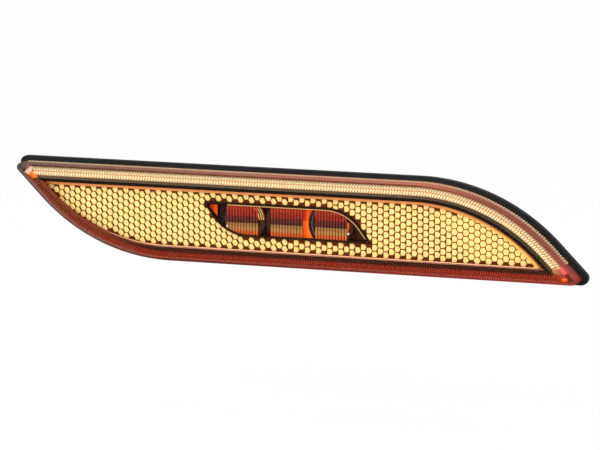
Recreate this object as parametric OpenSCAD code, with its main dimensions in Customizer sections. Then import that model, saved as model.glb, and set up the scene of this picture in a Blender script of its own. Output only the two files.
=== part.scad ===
// LED side marker lamp for a vehicle body.
// A clear amber cover is welded to a shallow black housing. Behind it a dark
// bezel holds a prismatic reflex reflector with a window for three lamps, and
// two ribbed light guides run round the edge. The lamp faces -Y and +Z is up.

/* [Outline] */
// Length of the cover over its two tips
cover_length = 217.3; // [200:0.1:232]
// Height of the cover
cover_height = 34.2; // [32:0.1:38]
// Radius of the shoulder between a long edge and a raked end
shoulder_radius = 72.4; // [62:0.1:80]
// Rake of both ends, measured from the long edge
end_angle = 45.3; // [44:0.1:50]
// Radius of the two tips
tip_radius = 1.8; // [1.5:0.1:3.5]

/* [Cover] */
// Height of the cover's side wall from the weld to the start of its rounding
cover_side = 7.2; // [7:0.1:9]
// Thickness of the cover's front
cover_front = 2; // [1.6:0.1:2.6]
// Thickness of the cover's side wall at the weld
cover_wall = 1.3; // [1.1:0.05:1.35]
// Draft of the side wall over its height
cover_draft = 0.2; // [0.1:0.05:0.3]

/* [Housing] */
// Depth of the housing's side wall, from the gasket to the weld
housing_side = 3.6; // [3:0.1:5]
// Distance that the housing's foot stands out past the cover
foot_step = 1.2; // [0.6:0.05:1.4]
// Thickness of the housing's floor
floor_t = 1.8; // [1.6:0.1:2.2]
// Width of the weld rim on top of the housing wall
rim_w = 2.6; // [2.4:0.1:3]
// Thickness of the gasket
gasket_t = 1.2; // [1:0.1:2]
// Width of the gasket
gasket_w = 3.2; // [2.5:0.1:4]
// Width of a stiffening rib on the back
back_rib_w = 1.4; // [1:0.1:2]
// Distance between two upright ribs on the housing's back
back_rib_pitch = 14; // [12:0.5:18]

/* [Reflector] */
// Width of a reflector pin across its flats
pin_pitch = 2.5; // [2.4:0.1:3]
// Thickness of the reflector's plate
plate_t = 2; // [1.6:0.1:2.4]
// Distance from the cover's edge to the reflector opening, on the lit side
opening_top = 6.85; // [6.6:0.05:7.6]
// Distance from the cover's edge to the reflector opening, on the dark side
opening_bottom = 4.65; // [4.5:0.05:6]
// Width of the plain border round the pins
pin_border = 1.1; // [0.9:0.05:1.5]
// Width of the slope along the bezel's lit edge
bezel_chamfer = 0.72; // [0.5:0.02:1]

/* [Window] */
// Length of the window over its two tips
window_length = 64.4; // [62:0.1:68]
// Height of the window
window_height = 12.4; // [12:0.1:13.4]
// Radius of the window's shoulders
window_radius = 17; // [15:1:19]
// Rake of the window's ends
window_angle = 54; // [50:1:58]
// Place of the window's middle along and up the lamp
window_at = [-2, -0.4];
// Wall of the window's dark frame
frame_wall = 0.7; // [0.6:0.05:0.9]
// Distance between two lamps
lamp_pitch = 17.3; // [17:0.1:18]
// Radius of the cup round each lamp
cup_radius = 8.3; // [8:0.05:8.4]
// Width of the fluted lens in each cup
flute_block = 13; // [12:0.1:13.4]
// Number of flutes on each lens
flute_count = 11; // [8:1:13]

/* [Light guides] */
// Width of the upper guide, which shows two rows of ribs
upper_guide_w = 3.25; // [3:0.05:3.4]
// Width of the lower guide
lower_guide_w = 1.95; // [1.8:0.05:2.2]
// Distance between two ribs on the upper guide
rib_pitch = 1.08; // [0.9:0.01:1.4]
// Height of a rib
rib_h = 0.35; // [0.2:0.05:0.5]
// Distance from the cover's end to where the upper guide starts
upper_start = 7; // [6.5:0.5:9]
// Height over the cover's edge at which the upper guide stops
upper_stop = 5.6; // [5.5:0.1:7]
// Width of the upper guide's sloped flank
upper_flank = 1.45; // [1:0.05:1.8]
// Distance from the cover's end to where the lower guide starts
lower_start = 9; // [8.5:0.5:11]
// Height over the cover's edge at which the lower guide stops
lower_stop = 6.6; // [6.5:0.1:8]
// Width of the lower guide's sloped flank
lower_flank = 0.4; // [0.2:0.05:0.6]
// Thickness of the tray that carries the guides
tray_t = 1; // [0.8:0.1:1.2]

/* [Electrics] */
// Thickness of the circuit board
board_t = 1.2; // [1:0.1:1.6]
// Height of the pads that carry the board
board_pad = 0.8; // [0.6:0.1:1]
// Width and height of the opening of the plug socket
socket_size = [14, 10];
// Depth of the plug socket behind the housing's floor
socket_depth = 15; // [13:0.5:18]
// Wall of the plug socket
socket_wall = 1.5; // [1.2:0.1:2]
// Place of the socket's middle along the lamp
socket_x = 41; // [39:1:44]
// Distance between the left and right pairs of board screws
screw_spacing = 88; // [86:1:92]
// Distance between two resistors
resistor_pitch = 4; // [3.4:0.1:4.4]
// Length and width of the driver chip
chip_size = [5, 4];
// Place of the driver chip's middle along the lamp
chip_x = -34; // [-36:1:-31]
// Length and width of a capacitor
capacitor_size = [3.2, 2.5];
// Length and width of the input diode
diode_size = [4.3, 2.6];

/* [Mounting] */
// Distance between the two mounting studs
stud_spacing = 124; // [120:1:132]
// Radius of a mounting stud
stud_radius = 2.5; // [2:0.5:3]
// Length of a stud behind the gasket's face
stud_length = 16; // [12:1:22]
// Radius of the collar that a stud is moulded in by
collar_radius = 3.4; // [3.2:0.1:3.8]
// Distance between the two locating pegs
peg_spacing = 158; // [150:1:160]
// Radius of a locating peg
peg_radius = 2; // [1.5:0.1:2.5]

/* [Hidden] */

round_fn = 48;
tip_steps = 6;
shoulder_steps = 16;
tip_least = 0.5;     // smallest radius left on a tip after an inset
fit_gap = 0.15;      // clearance between pieces that fit inside each other
seat_gap = 0.3;      // clearance over a piece that rests on its seat

// Heights along the lamp's depth, from the gasket's back face towards the front
floor_back = gasket_t;
floor_top = floor_back + floor_t;
weld_z = gasket_t + housing_side;
tray_z = weld_z + 2.2;
guide_z = tray_z + tray_t;
cover_round_z = weld_z + cover_side;
cover_front_z = cover_round_z + cover_front;
plate_front_z = cover_round_z - seat_gap;
plate_back_z = plate_front_z - plate_t;
guide_front_z = plate_front_z - 1.2;
board_z = floor_top + board_pad;
board_top = board_z + board_t;

// Distances inward from the cover's outline
cover_inner = cover_wall;
rim_outer = cover_inner + fit_gap;
rim_inner = rim_outer + rim_w - cover_wall;
guide_outer = rim_outer + 0.05;
upper_inner = guide_outer + upper_guide_w;
lower_inner = guide_outer + lower_guide_w;
bezel_top = upper_inner + fit_gap;
bezel_bottom = lower_inner + fit_gap;

// Distance of a raked end from the lamp's middle, square to the rake
function rake(l, h, a, r) = (l/2 - r)*sin(a) + (r - h/2)*cos(a) + r;

function arc(c, r, a0, a1, n) =
    [for (i = [0:n]) let (a = a0 + (a1 - a0)*i/n) c + r*[cos(a), sin(a)]];

// Right half of a swept outline, inset by t_rake at its raked end and by t_edge below
function half_outline(l, h, sr, a, r, t_rake, t_edge) =
    let (k = rake(l, h, a, r),
         t = max(t_rake, t_edge),
         tr = max(r - (t < 0 ? t/2 : t), min(tip_least, r)),
         ty = t_edge + tr - h/2,
         cy = h/2 - sr,
         cx = (k - sr - cy*cos(a))/sin(a),
         run = sr - t_rake - tr,
         meet = asin((ty - cy)/run),
         b = max(meet, 90 - a),
         tx = meet > 90 - a ? cx + run*cos(meet) : (k - t_rake - tr - ty*cos(a))/sin(a))
    concat(arc([tx, ty], tr, -90, b, tip_steps),
           arc([cx, cy], sr - t_rake, b, 90, shoulder_steps));

function turned(points) = [for (p = points) -p];

// Whole outline: t_top is the inset of the upper edge and right end, t_bottom of the rest
function swept(l, h, sr, a, r, t_top, t_bottom) =
    concat(half_outline(l, h, sr, a, r, t_top, t_bottom),
           turned(half_outline(l, h, sr, a, r, t_bottom, t_top)));

function outline(t_top, t_bottom) =
    swept(cover_length, cover_height, shoulder_radius, end_angle, tip_radius, t_top, t_bottom);

function window_outline(t) =
    [for (p = swept(window_length, window_height, window_radius, window_angle, 0.6, t, t))
        p + window_at];

// Solid through a stack of outlines that have equal numbers of points, as [z, points]
module loft(levels) {
    n = len(levels[0][1]);
    top = len(levels) - 1;
    points = [for (l = levels) for (p = l[1]) [p[0], p[1], l[0]]];
    sides = [for (k = [0:top - 1]) for (i = [0:n - 1]) let (j = (i + 1) % n)
        each [[k*n + i, (k + 1)*n + j, k*n + j], [k*n + i, (k + 1)*n + i, (k + 1)*n + j]]];
    polyhedron(points = points, faces = concat(
        [[for (i = [0:n - 1]) i]],
        sides,
        [[for (i = [n - 1:-1:0]) top*n + i]]));
}

module plate(points, z0, z1) {
    translate([0, 0, z0]) linear_extrude(z1 - z0) polygon(points);
}

module ring(outer, inner, z0, z1) {
    difference() {
        plate(outer, z0, z1);
        plate(inner, z0 - 1, z1 + 1);
    }
}

// Turns the drawing plane upright, so that the lamp's depth runs along Y
module upright() rotate([90, 0, 0]) children();

module rod(x, y, z0, z1, r) {
    translate([x, y, z0]) cylinder(r = r, h = z1 - z0, $fn = round_fn);
}

module block(x, y, w, h, z0, z1) {
    translate([x - w/2, y - h/2, z0]) cube([w, h, z1 - z0]);
}

module body_gasket() {
    foot = foot_step - 0.1;
    color("#1c1c1c") upright()
        ring(outline(-foot, -foot), outline(gasket_w - foot, gasket_w - foot), 0, gasket_t);
}

// Board parts stand in two rows, set in from the housing's upper and lower walls
part_row = cover_height/2 - rim_inner - 4.6;
screw_at = [for (s = [-1, 1]) for (t = [-1, 1]) [s*screw_spacing/2, t*part_row]];
screw_r = 1.1;
stud_head_r = 4.4;
stud_boss_r = 5.6;
stud_boss_z = floor_top + 2.6;
stud_head_z = stud_boss_z - 1.6;
vent_x = -30;
vent_r = 4.5;
vent_lip = 1;
terminal_x = 2.5;     // each terminal's distance from the middle of the socket
terminal_size = [0.8, 2.8];

module stud_bosses() {
    for (s = [-1, 1]) rod(s*stud_spacing/2, 0, floor_back, stud_boss_z, stud_boss_r);
}

module stud_holes() {
    for (s = [-1, 1]) {
        rod(s*stud_spacing/2, 0, floor_back - 1, stud_boss_z + 1, collar_radius + 0.05);
        rod(s*stud_spacing/2, 0, stud_head_z, stud_boss_z + 1, stud_head_r + 0.05);
    }
}

module socket_shell() {
    outer = socket_size + 2*[socket_wall, socket_wall];
    difference() {
        block(socket_x, 0, outer[0], outer[1], floor_back - socket_depth, floor_back);
        block(socket_x, 0, socket_size[0], socket_size[1],
              floor_back - socket_depth - 1, floor_back);
    }
    // latch that the plug snaps over
    translate([socket_x, outer[1]/2, floor_back - socket_depth + 3])
        rotate([90, 0, 90]) linear_extrude(5, center = true)
            polygon([[-0.2, 0], [1.4, 3], [1.4, 3.8], [-0.2, 3.8]]);
}

module back_ribs() {
    inner = gasket_w - foot_step + 1.2;
    rib_back = floor_back - 0.9;
    rib_count = floor((cover_length/2 - 20)/back_rib_pitch);
    intersection() {
        plate(outline(inner, inner), rib_back, floor_back + 0.2);
        union() {
            for (y = [-part_row, part_row])
                block(0, y, cover_length, back_rib_w, rib_back - 1, floor_back + 1);
            for (i = [-rib_count:rib_count], x = i*back_rib_pitch)
                if (abs(x - socket_x) > 12 && abs(x - vent_x) > 8)
                    block(x, 0, back_rib_w, cover_height, rib_back - 1, floor_back + 1);
        }
    }
}

module housing() {
    color("#18191a") upright() difference() {
        union() {
            difference() {
                loft([[floor_back, outline(-foot_step, -foot_step)],
                      [weld_z - foot_step, outline(-foot_step, -foot_step)],
                      [weld_z, outline(0, 0)]]);
                plate(outline(rim_inner, rim_inner), floor_top, weld_z + 1);
            }
            ring(outline(rim_outer, rim_outer), outline(rim_inner, rim_inner), weld_z - 0.5, tray_z);
            for (p = screw_at) rod(p[0], p[1], floor_back, board_z, 3);
            stud_bosses();
            socket_shell();
            back_ribs();
            for (s = [-1, 1]) rod(s*peg_spacing/2, 0, -6, floor_back + 0.5, peg_radius);
            rod(vent_x, 0, floor_back - vent_lip, floor_back + 0.5, vent_r + 1.3);
        }
        for (p = screw_at) rod(p[0], p[1], floor_back + 0.6, board_z + 1, screw_r + 0.05);
        stud_holes();
        rod(vent_x, 0, floor_back - vent_lip - 1, floor_back - 0.4, vent_r + 0.1);
        rod(vent_x, 0, floor_back - 1, floor_top + 1, 1.5);
        for (s = [-1, 1])
            block(socket_x + s*terminal_x, 0, terminal_size[0] + 0.1, terminal_size[1] + 0.1,
                  floor_back - 1, floor_top + 1);
    }
}

module outer_cover() {
    bend = [for (i = [1:5]) let (a = 90*i/5)
        [cover_round_z + cover_front*sin(a), cover_draft + cover_front*(1 - cos(a))]];
    levels = concat([[weld_z, 0], [cover_round_z, cover_draft]], bend);
    color("#d96a1c", 0.45) upright() difference() {
        loft([for (l = levels) [l[0], outline(l[1], l[1])]]);
        plate(outline(cover_inner, cover_inner), weld_z - 1, cover_round_z);
    }
}

led_size = [3.5, 2.8];
guide_led_inset = 14; // from the cover's end
leg_w = 3;            // width of the leg that takes light from the board up to a guide
leg_h = 1.9;
leg_top = cover_height/2 - rim_inner - fit_gap;
guide_led_x = cover_length/2 - guide_led_inset;
guide_led_y = leg_top - led_size[1]/2 - 0.05;

module guide_tray() {
    color("#7c3a28") upright() difference() {
        ring(outline(guide_outer, guide_outer),
             outline(opening_top + pin_border - 0.1, opening_bottom + pin_border - 0.1),
             tray_z, guide_z);
        for (s = [-1, 1])
            block(s*guide_led_x, -s*(leg_top - leg_h/2), leg_w + 2*fit_gap, leg_h + 2*fit_gap,
                  tray_z - 1, guide_z + 1);
    }
}

// Leg at the start of a guide that reaches down through the tray to its LED
module guide_leg(inner) {
    shared = cover_height/2 - inner + 0.05;
    block(-guide_led_x, leg_top - leg_h/2, leg_w, leg_h, board_top + 0.9, guide_z);
    block(-guide_led_x, (leg_top + shared)/2, leg_w - 0.2, leg_top - shared, guide_z - 0.5, guide_z + 0.5);
}

// Middle line of a guide: along the long edge, round the shoulder and down the raked end
function guide_line(t, x0, y_end) =
    let (a = end_angle,
         k = rake(cover_length, cover_height, a, tip_radius),
         cy = cover_height/2 - shoulder_radius,
         cx = (k - shoulder_radius - cy*cos(a))/sin(a),
         r = shoulder_radius - t,
         run = cx - x0,
         bend = r*a*PI/180,
         y_tan = cy + r*cos(a),
         rest = max(0, (y_tan - y_end)/sin(a)),
         n = floor((run + bend + rest)/(rib_pitch/2)))
    [for (i = [0:n]) let (s = i*rib_pitch/2)
        s < run ? [x0 + s, cy + r, 90]
        : s < run + bend ? let (b = 90 - (s - run)/r*180/PI) [cx + r*cos(b), cy + r*sin(b), b]
        : let (b = 90 - a, d = s - run - bend)
            [cx + r*cos(b) + d*sin(b), cy + r*sin(b) - d*cos(b), b]];

// Sweeps a section along a guide's line; sections alternate between crest and valley.
// The guide's outer flank slopes away over the given width, and is ribbed as its front is.
module ribbed_guide(line, w, flank, z0, z1) {
    n = len(line);
    function section(i) = let (p = line[i], u = [cos(p[2]), sin(p[2])], cut = i % 2 == 0 ? 0 : rib_h)
        [for (q = [[-w/2, z0], [w/2, z0], [w/2, z0 + (z1 - z0)*0.2 - cut/2],
                   [w/2 - flank - cut/2, z1 - cut], [-w/2, z1 - cut]])
            [p[0] + u[0]*q[0], p[1] + u[1]*q[0], q[1]]];
    m = 5;
    polyhedron(
        points = [for (i = [0:n - 1]) each section(i)],
        faces = concat(
            [[for (j = [0:m - 1]) j]],
            [for (i = [0:n - 2]) for (j = [0:m - 1]) let (k = (j + 1) % m)
                each [[i*m + j, (i + 1)*m + k, i*m + k], [i*m + j, (i + 1)*m + j, (i + 1)*m + k]]],
            [[for (j = [m - 1:-1:0]) (n - 1)*m + j]]));
}

module upper_light_guide() {
    t = guide_outer + upper_guide_w/2;
    color("#e9b98a") upright() union() {
        ribbed_guide(guide_line(t, -cover_length/2 + upper_start, -cover_height/2 + upper_stop),
                     upper_guide_w, upper_flank, guide_z, guide_front_z);
        guide_leg(upper_inner);
    }
}

module lower_light_guide() {
    t = guide_outer + lower_guide_w/2;
    color("#9c2e18") upright() rotate([0, 0, 180]) union() {
        ribbed_guide(guide_line(t, -cover_length/2 + lower_start, -cover_height/2 + lower_stop),
                     lower_guide_w, lower_flank, guide_z, guide_front_z);
        guide_leg(lower_inner);
    }
}

module inner_bezel() {
    color("#2a2826") upright() difference() {
        loft([[guide_z, outline(bezel_top, bezel_bottom)],
              [plate_front_z - 1.5, outline(bezel_top, bezel_bottom)],
              [plate_front_z, outline(bezel_top + bezel_chamfer, bezel_bottom)]]);
        plate(outline(opening_top, opening_bottom), plate_back_z, plate_front_z + 1);
        plate(outline(opening_top + pin_border - 0.1, opening_bottom + pin_border - 0.1),
              guide_z - 1, plate_front_z + 1);
    }
}

// Corner-cube pins: six-sided cells whose corners stand alternately at one and two
// thirds of the cube's diagonal, so neighbouring cells meet edge to edge
module reflex_pins() {
    s = pin_pitch/sqrt(3);
    step = s/sqrt(2);
    cols = ceil(cover_length/2/(1.5*s));
    rows = ceil(cover_height/2/pin_pitch) + 1;
    field = outline(opening_top + pin_border, opening_bottom + pin_border);
    gap = window_outline(-pin_border*0.6);
    corners = [[2, 0], [1, 1], [-1, 1], [-2, 0], [-1, -1], [1, -1]];
    function place(a, b) = [a*s/2, b*s*sqrt(3)/2];
    function odd(i) = i % 2 == 0 ? 0 : 1;
    function within(p, shape) = let (n = len(shape))
        min([for (i = [0:n - 1]) let (u = shape[i], v = shape[(i + 1) % n])
            (v[0] - u[0])*(p[1] - u[1]) - (v[1] - u[1])*(p[0] - u[0])]) > -0.001;
    function is_cell(i, j) = let (a = 3*i, b = 2*j + 1 + odd(i))
        min([for (c = corners) within(place(a + c[0], b + c[1]), field) ? 1 : 0]) == 1 &&
        max([for (c = corners) within(place(a + c[0], b + c[1]), gap) ? 1 : 0]) == 0 &&
        !within(place(a, b), gap);
    cells = [for (i = [-cols:cols]) for (j = [-rows:rows]) if (is_cell(i, j)) [3*i, 2*j + 1 + odd(i)]];
    base = plate_back_z + 0.4;
    function at(a, b, z) = let (p = place(a, b)) [p[0], p[1], z];
    function corner(cell, k, z) = at(cell[0] + corners[k % 6][0], cell[1] + corners[k % 6][1], z);
    function depth(k) = plate_back_z - 0.1 - (k % 2 == 0 ? 0 : step);
    function missing(cell, k) = let (
        side = [corners[k][0] + corners[(k + 1) % 6][0], corners[k][1] + corners[(k + 1) % 6][1]],
        i = (cell[0] + side[0])/3, j = (cell[1] + side[1] - 1 - odd(i))/2)
        !is_cell(i, j);
    faces = [for (cell = cells) each concat(
        [for (k = [1, 3, 5]) each [
            [at(cell[0], cell[1], depth(0) - 2*step), corner(cell, k, depth(1)),
             corner(cell, k + 1, depth(0))],
            [at(cell[0], cell[1], depth(0) - 2*step), corner(cell, k + 1, depth(0)),
             corner(cell, k + 2, depth(1))]]],
        [for (k = [1:4]) [corner(cell, 0, base), corner(cell, k + 1, base), corner(cell, k, base)]],
        [for (k = [0:5]) if (missing(cell, k)) each [
            [corner(cell, k, base), corner(cell, k + 1, depth(k + 1)), corner(cell, k, depth(k))],
            [corner(cell, k, base), corner(cell, k + 1, base), corner(cell, k + 1, depth(k + 1))]]])];
    polyhedron(points = [for (f = faces) each f],
               faces = [for (i = [0:len(faces) - 1]) [3*i, 3*i + 1, 3*i + 2]]);
}

module reflex_reflector() {
    color("#f0b840", 0.8) upright() union() {
        difference() {
            plate(outline(opening_top + fit_gap, opening_bottom + fit_gap), plate_back_z, plate_front_z);
            plate(window_outline(-fit_gap), plate_back_z - 1, plate_front_z + 1);
        }
        reflex_pins();
    }
}

module window_frame() {
    color("#241c18") upright()
        ring(window_outline(0), window_outline(frame_wall), board_top, plate_front_z);
}

cup_back = board_top;
cup_floor = cup_back + 1.9;
cup_front = plate_front_z - 1.6;

function lamp_x(i) = window_at[0] + i*lamp_pitch;

module cup_block() {
    color("#3a1d14") upright() difference() {
        plate(window_outline(frame_wall + fit_gap), cup_back, cup_front);
        for (i = [-1:1]) {
            rod(lamp_x(i), window_at[1], cup_floor, cup_front + 1, cup_radius);
            rod(lamp_x(i), window_at[1], cup_back - 1, cup_front + 1, 2.6);
        }
    }
}

// Lens with upright flutes; its lower half stands forward of the upper half
module fluted_optic(i) {
    half = flute_block/2;
    pitch = flute_block/flute_count;
    h = window_height/2 - frame_wall - fit_gap;
    back = cup_floor;
    crown = cup_front - 0.6;
    split = window_at[1] - 0.6;
    function flutes(top) = [for (f = [0:flute_count - 1]) for (k = [0:3])
        [half - (f + k/4)*pitch, top - 0.32*(1 - sin(180*k/4))]];
    module half_lens(y0, y1, top) {
        translate([lamp_x(i), y1, 0]) rotate([90, 0, 0]) linear_extrude(y1 - y0)
            polygon(concat([[-half, back], [half, back]], flutes(top), [[-half, top - 0.32]]));
    }
    color("#c8501a", 0.8) upright() intersection() {
        union() {
            half_lens(split, window_at[1] + h, crown - 0.6);
            half_lens(window_at[1] - h, split + 0.01, crown);
        }
        rod(lamp_x(i), window_at[1], back - 1, crown + 1, cup_radius - fit_gap);
        plate(window_outline(frame_wall + 2*fit_gap), back - 1, crown + 1);
    }
}

module left_optic() fluted_optic(-1);
module middle_optic() fluted_optic(0);
module right_optic() fluted_optic(1);

module led(x, y) {
    color("#f4e7a0") upright() {
        block(x, y, led_size[0], led_size[1], board_top, board_top + 0.5);
        rod(x, y, board_top + 0.4, board_top + 0.75, 1.1);
    }
}

module left_led() led(lamp_x(-1), window_at[1]);
module middle_led() led(lamp_x(0), window_at[1]);
module right_led() led(lamp_x(1), window_at[1]);
module upper_guide_led() led(-guide_led_x, guide_led_y);
module lower_guide_led() led(guide_led_x, -guide_led_y);

module circuit_board() {
    t = rim_inner + fit_gap;
    color("#1f5a35") upright() difference() {
        plate(outline(t, t), board_z, board_top);
        for (s = [-1, 1]) rod(s*stud_spacing/2, 0, board_z - 1, board_top + 1, stud_boss_r + 0.4);
        for (p = screw_at) rod(p[0], p[1], board_z - 1, board_top + 1, screw_r + 0.2);
        for (s = [-1, 1])
            block(socket_x + s*terminal_x, 0, terminal_size[0] + 0.1, terminal_size[1] + 0.1,
                  board_z - 1, board_top + 1);
    }
}

module driver_chip() {
    color("#202020") upright() {
        block(chip_x, part_row, chip_size[0], chip_size[1], board_top + 0.1, board_top + 1.5);
        for (s = [-1, 1]) for (k = [-1.5:1:1.5])
            block(chip_x + k*chip_size[0]/4, part_row + s*(chip_size[1]/2 + 0.4), 0.4, 1.2,
                  board_top, board_top + 0.25);
    }
}

module resistors() {
    first = chip_x + chip_size[0]/2 + 7.5;
    color("#303030") upright() for (i = [0:11])
        block(first + i*resistor_pitch, part_row, 2, 1.25, board_top, board_top + 0.5);
}

module capacitors() {
    last = screw_spacing/2 - 10;
    color("#b08a5a") upright() for (x = [last, last - 2*capacitor_size[0]])
        block(x, part_row, capacitor_size[0], capacitor_size[1], board_top, board_top + 1.4);
}

module input_diode() {
    color("#242424") upright()
        block(screw_spacing/2 - 6, -part_row, diode_size[0], diode_size[1], board_top, board_top + 1.3);
}

module board_screws() {
    color("#b9bcc0") upright() for (p = screw_at) difference() {
        union() {
            rod(p[0], p[1], floor_back + 0.8, board_top + 0.2, screw_r);
            rod(p[0], p[1], board_top, board_top + 1.3, 2.2);
        }
        for (a = [0, 90]) translate([p[0], p[1], board_top + 1.1]) rotate(a)
            cube([2.6, 0.5, 1], center = true);
    }
}

module terminal_pins() {
    color("#c9b26a") upright() for (s = [-1, 1])
        block(socket_x + s*terminal_x, 0, terminal_size[0], terminal_size[1],
              floor_back - socket_depth + 6, board_top + 0.6);
}

module vent_membrane() {
    color("#e8e8e4") upright() rod(vent_x, 0, floor_back - 0.7, floor_back - 0.4, vent_r);
}

module stud(s) {
    color("#b4b7ba") upright() {
        translate([s*stud_spacing/2, 0, -stud_length])
            cylinder(r1 = stud_radius - 0.6, r2 = stud_radius, h = 0.8, $fn = round_fn);
        rod(s*stud_spacing/2, 0, 0.8 - stud_length, 0.2, stud_radius);
        rod(s*stud_spacing/2, 0, 0, stud_head_z + 0.2, collar_radius);
        rod(s*stud_spacing/2, 0, stud_head_z, stud_boss_z, stud_head_r);
    }
}

module left_stud() stud(-1);
module right_stud() stud(1);

body_gasket();
housing();
outer_cover();
guide_tray();
upper_light_guide();
lower_light_guide();
inner_bezel();
reflex_reflector();
window_frame();
cup_block();
left_optic();
middle_optic();
right_optic();
circuit_board();
left_led();
middle_led();
right_led();
upper_guide_led();
lower_guide_led();
driver_chip();
resistors();
capacitors();
input_diode();
board_screws();
terminal_pins();
vent_membrane();
left_stud();
right_stud();
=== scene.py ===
import math

import bmesh
import bpy
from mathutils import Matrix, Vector


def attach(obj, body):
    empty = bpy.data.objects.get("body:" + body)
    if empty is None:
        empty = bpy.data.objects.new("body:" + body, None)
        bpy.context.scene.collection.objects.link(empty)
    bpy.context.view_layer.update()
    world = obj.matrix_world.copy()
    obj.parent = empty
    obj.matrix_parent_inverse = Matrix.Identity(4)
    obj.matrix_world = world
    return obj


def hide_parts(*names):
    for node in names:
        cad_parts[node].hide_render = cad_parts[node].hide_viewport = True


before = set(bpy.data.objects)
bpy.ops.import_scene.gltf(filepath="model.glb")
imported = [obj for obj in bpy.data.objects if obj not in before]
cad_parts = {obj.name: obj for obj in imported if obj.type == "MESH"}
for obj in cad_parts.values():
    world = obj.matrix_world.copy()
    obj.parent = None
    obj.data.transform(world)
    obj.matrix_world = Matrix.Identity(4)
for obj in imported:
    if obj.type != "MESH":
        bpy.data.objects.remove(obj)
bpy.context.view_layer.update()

bl_info = {
    "name": "Side marker lamp",
    "version": (1, 0, 0),
    "blender": (4, 5, 0),
    "location": "3D View > Sidebar > Lamp",
    "description": "Dresses the side marker lamp with its cover, reflector, light guides and finishes",
    "category": "Object",
}

MM = 0.001
SLIVER = 1e-6  # length that counts as none
MERGE, CUT = 2e-6, 1e-7  # metres within which points merge, and within which a point lies on a cut
REACH = 3  # millimetres from a hole's side within which faces are cut
NOISE_RANGE = (0.3, 0.7)  # values between which a noise texture mostly stays
GUIDE_STEP = 1.5  # millimetres between two sections of a light guide's body
ARC_STEPS = 24  # parts of each curved band in the cups
PIN_DOME, PIN_DROP = 0.14, 0.55  # millimetres that a pin's middle stands up and its grooves go down


# Outline geometry, in millimetres: x along the lamp, y up, z out of the vehicle body


def at(x, y, z):
    """A point of the lamp's drawing as a point of the scene."""
    return Vector((x, -z, y)) * MM


def arc(centre, radius, start, end, steps):
    """Points along an arc, with angles in degrees."""
    points = []
    for i in range(steps + 1):
        angle = math.radians(start + (end - start) * i / steps)
        points.append((centre[0] + radius * math.cos(angle), centre[1] + radius * math.sin(angle)))
    return points


def half_outline(size, inset_rake, inset_edge, tip_steps, shoulder_steps):
    """Right half of a swept outline, from the lower tip round the shoulder to the top edge."""
    length, height, shoulder, angle, tip = size
    a = math.radians(angle)
    rake = (length / 2 - tip) * math.sin(a) + (tip - height / 2) * math.cos(a) + tip
    inset = max(inset_rake, inset_edge)
    r = max(tip - (inset / 2 if inset < 0 else inset), min(0.5, tip))
    y_tip = inset_edge + r - height / 2
    y_shoulder = height / 2 - shoulder
    x_shoulder = (rake - shoulder - y_shoulder * math.cos(a)) / math.sin(a)
    run = shoulder - inset_rake - r
    meet = math.degrees(math.asin((y_tip - y_shoulder) / run))
    turn = max(meet, 90 - angle)
    if meet > 90 - angle:
        x_tip = x_shoulder + run * math.cos(math.radians(meet))
    else:
        x_tip = (rake - inset_rake - r - y_tip * math.cos(a)) / math.sin(a)
    return arc((x_tip, y_tip), r, -90, turn, tip_steps) + arc(
        (x_shoulder, y_shoulder), shoulder - inset_rake, turn, 90, shoulder_steps
    )


def swept(size, inset_top, inset_bottom, tip_steps=8, shoulder_steps=36):
    """Whole swept outline, anticlockwise; inset_top is for the upper edge and right end."""
    right = half_outline(size, inset_top, inset_bottom, tip_steps, shoulder_steps)
    left = half_outline(size, inset_bottom, inset_top, tip_steps, shoulder_steps)
    return right + [(-x, -y) for x, y in left]


def shape():
    return bpy.context.scene.lamp_shape


def tint():
    return bpy.context.scene.lamp_tints


def cover_outline(inset_top, inset_bottom=None, **steps):
    s = shape()
    size = (s.cover_length, s.cover_height, s.shoulder_radius, s.end_angle, s.tip_radius)
    return swept(size, inset_top, inset_top if inset_bottom is None else inset_bottom, **steps)


def window_outline(inset):
    s = shape()
    size = (s.window_length, s.window_height, s.window_radius, s.window_angle, 0.6)
    points = swept(size, inset, inset, tip_steps=5, shoulder_steps=16)
    return [(x + s.window_x, y + s.window_y) for x, y in points]


def along(points, pitch):
    """Points at equal steps along a line, each with its direction in radians."""
    spots, need = [], 0.0
    for (x0, y0), (x1, y1) in zip(points, points[1:]):
        length = math.hypot(x1 - x0, y1 - y0)
        if length < SLIVER:
            continue
        while need <= length:
            t = need / length
            spots.append((x0 + (x1 - x0) * t, y0 + (y1 - y0) * t, math.atan2(y1 - y0, x1 - x0)))
            need += pitch
        need -= length
    return spots


# Mesh and colour helpers


def linear(colour):
    """An sRGB colour of 0 to 255, or of 0 to 1, as the linear colour that shaders take."""
    out = []
    for c in colour[:3]:
        c = c / 255 if max(colour[:3]) > 1 else c
        out.append(c / 12.92 if c <= 0.04045 else ((c + 0.055) / 1.055) ** 2.4)
    return tuple(out)


def blend_colour(a, b, t):
    return tuple(p + (q - p) * t for p, q in zip(a, b))


def scaled(tone, factor):
    return tuple(part * factor for part in tone)


def share(value, start, end):
    """How far a value lies from start to end, from 0 to 1."""
    return min(max((value - start) / (end - start), 0), 1)


def placed(name, data):
    """An object made from its data, in the scene."""
    obj = bpy.data.objects.new(name, data)
    bpy.context.scene.collection.objects.link(obj)
    return obj


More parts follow.
